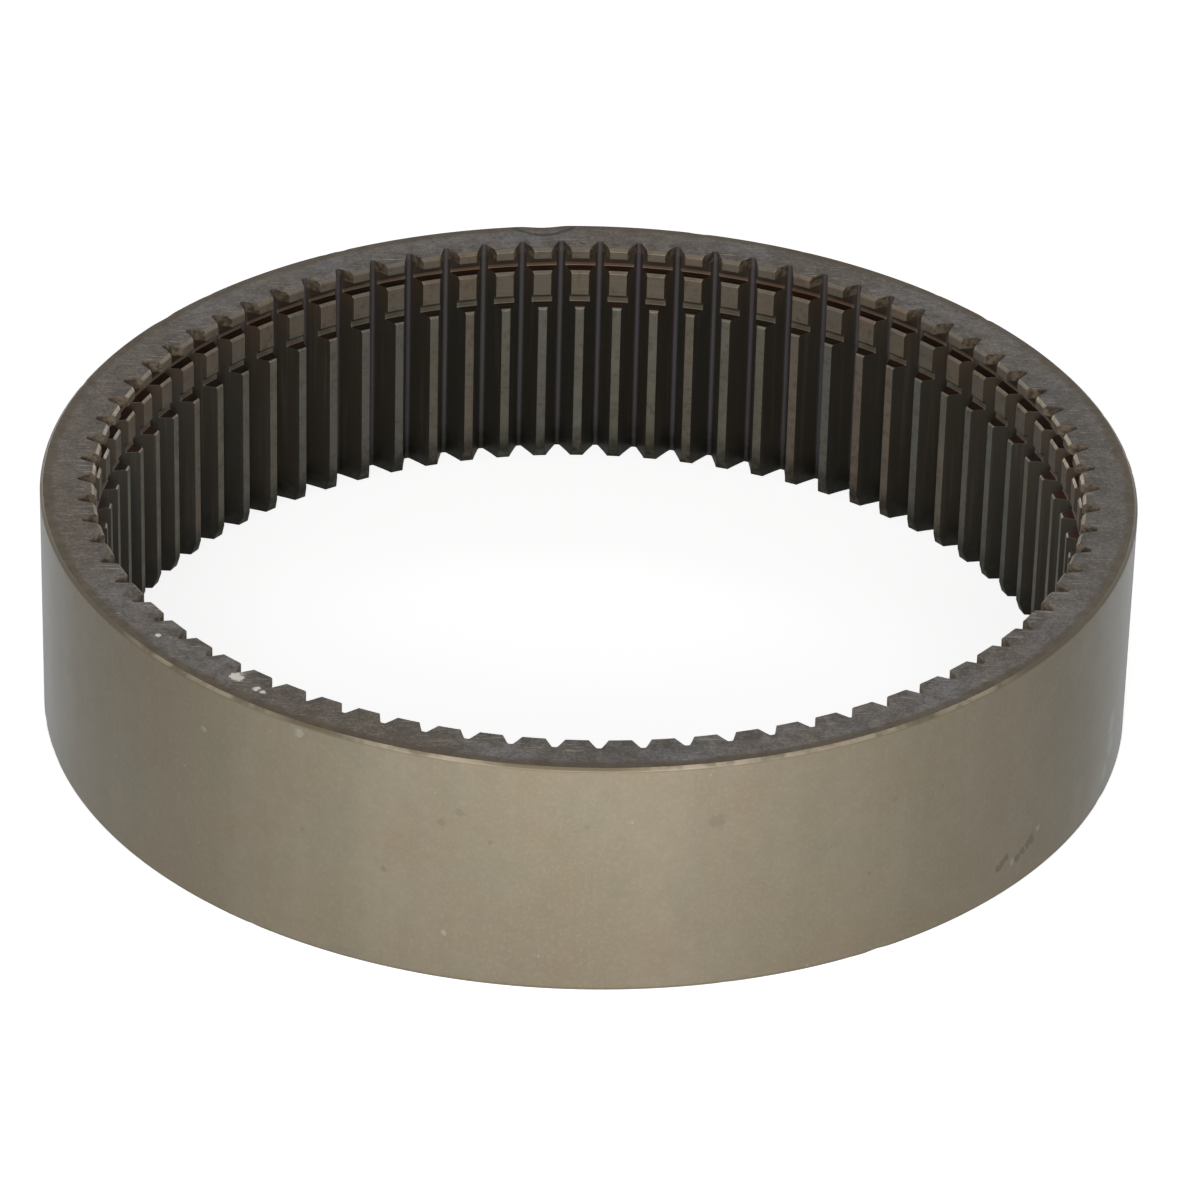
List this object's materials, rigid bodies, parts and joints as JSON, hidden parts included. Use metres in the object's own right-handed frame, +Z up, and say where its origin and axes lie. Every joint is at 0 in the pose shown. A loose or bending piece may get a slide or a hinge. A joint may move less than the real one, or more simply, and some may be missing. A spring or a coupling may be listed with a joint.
{
  "type": "internal ring gear",
  "caption": "Steel internal ring gear: plain cylindrical outside, full-height involute teeth inside, stub teeth with a snap-ring groove at one end.",
  "frame": {"origin": "centre of the lower face, on the gear axis", "axes": "+Z up the gear axis, from the lead-in face to the face with the stub teeth; a tooth space is centred on +X"},
  "size_m": [0.256, 0.256, 0.0582],
  "materials": {
    "gear_steel": "satin turned and ground steel, oiled, with dark stained teeth and light rust in the snap-ring groove"
  },
  "bodies": {
    "root": {"ring_gear": "gear_steel"}
  },
  "joints": []
}
